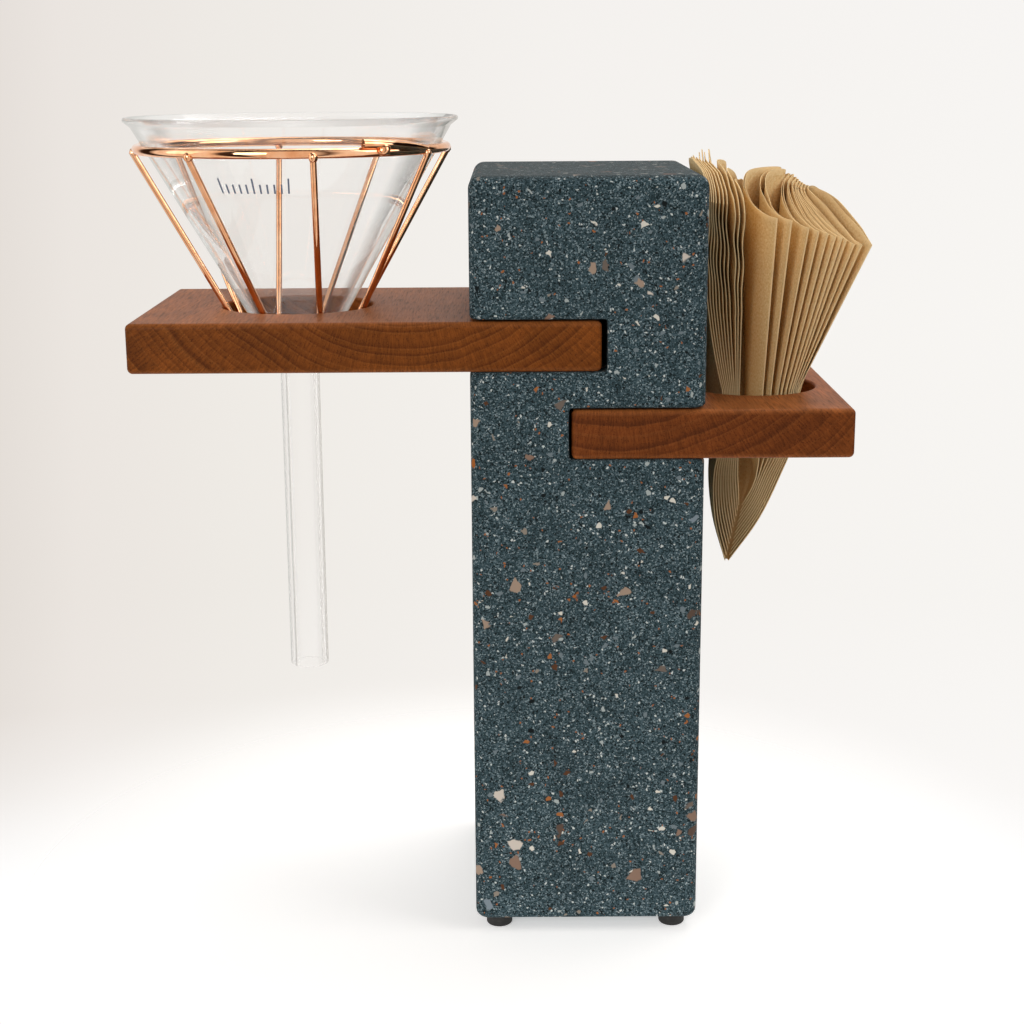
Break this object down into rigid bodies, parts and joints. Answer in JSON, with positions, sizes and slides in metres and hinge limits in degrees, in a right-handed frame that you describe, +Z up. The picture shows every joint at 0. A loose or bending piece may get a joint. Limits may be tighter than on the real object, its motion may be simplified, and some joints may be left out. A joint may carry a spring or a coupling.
{
  "type": "pour-over coffee stand",
  "caption": "Terrazzo column with two wooden arms: one holds a long-stem glass funnel in a copper wire cage over the cup space, the other a nested stack of cone paper filters.",
  "frame": {"origin": "on the table, under the middle of the whole stand's box, in the column's mid-depth plane", "axes": "+X to the right, towards the filter arm; +Y to the back; +Z up"},
  "size_m": [0.2233, 0.1, 0.2458],
  "materials": {
    "terrazzo": "cast blue-grey terrazzo, honed, with white, cream, orange-brown and black chips",
    "rubber": "moulded black rubber, matte",
    "walnut": "oiled walnut board, edges eased by sanding",
    "glass": "clear borosilicate laboratory glass, fire-polished rim",
    "copper": null,
    "filter_paper": "unbleached brown filter paper with a crimped seam"
  },
  "bodies": {
    "column": {"column_block": "terrazzo", "foot_front_left": "rubber", "foot_front_right": "rubber", "foot_back_left": "rubber", "foot_back_right": "rubber"},
    "dripper_arm": {"dripper_arm": "walnut"},
    "wire_cage": {"cage_top_ring": "copper", "cage_foot_ring": "copper", "cage_spoke_1": "copper", "cage_spoke_2": "copper", "cage_spoke_3": "copper", "cage_spoke_4": "copper", "cage_spoke_5": "copper", "cage_spoke_6": "copper", "cage_spoke_7": "copper", "cage_spoke_8": "copper", "cage_spoke_beads": "copper", "cage_ring_weld": "copper"},
    "glass_funnel": {"glass_funnel": "glass"},
    "filter_arm": {"filter_arm": "walnut"},
    "filter_stack": {"paper_filter_01": "filter_paper", "paper_filter_02": "filter_paper", "paper_filter_03": "filter_paper", "paper_filter_04": "filter_paper", "paper_filter_05": "filter_paper", "paper_filter_06": "filter_paper", "paper_filter_07": "filter_paper", "paper_filter_08": "filter_paper", "paper_filter_09": "filter_paper", "paper_filter_10": "filter_paper"},
    "next_filter": {"paper_filter_11": "filter_paper"}
  },
  "joints": [
    {"name": "dripper_arm_slide", "type": "slide", "parent": "column", "child": "dripper_arm", "axis": [-1, 0, 0], "range_m": [-0.0015, 0.05]},
    {"name": "cage_lift", "type": "slide", "parent": "dripper_arm", "child": "wire_cage", "axis": [0, 0, 1], "range_m": [0, 0.05]},
    {"name": "funnel_lift", "type": "slide", "parent": "wire_cage", "child": "glass_funnel", "axis": [0, 0, 1], "range_m": [0, 0.18]},
    {"name": "filter_arm_slide", "type": "slide", "parent": "column", "child": "filter_arm", "axis": [1, 0, 0], "range_m": [-0.0006, 0.05]},
    {"name": "filter_stack_lift", "type": "slide", "parent": "filter_arm", "child": "filter_stack", "axis": [0, 0, 1], "range_m": [0, 0.08]},
    {"name": "next_filter_lift", "type": "slide", "parent": "filter_stack", "child": "next_filter", "axis": [0, 0, 1], "range_m": [0, 0.12]}
  ]
}
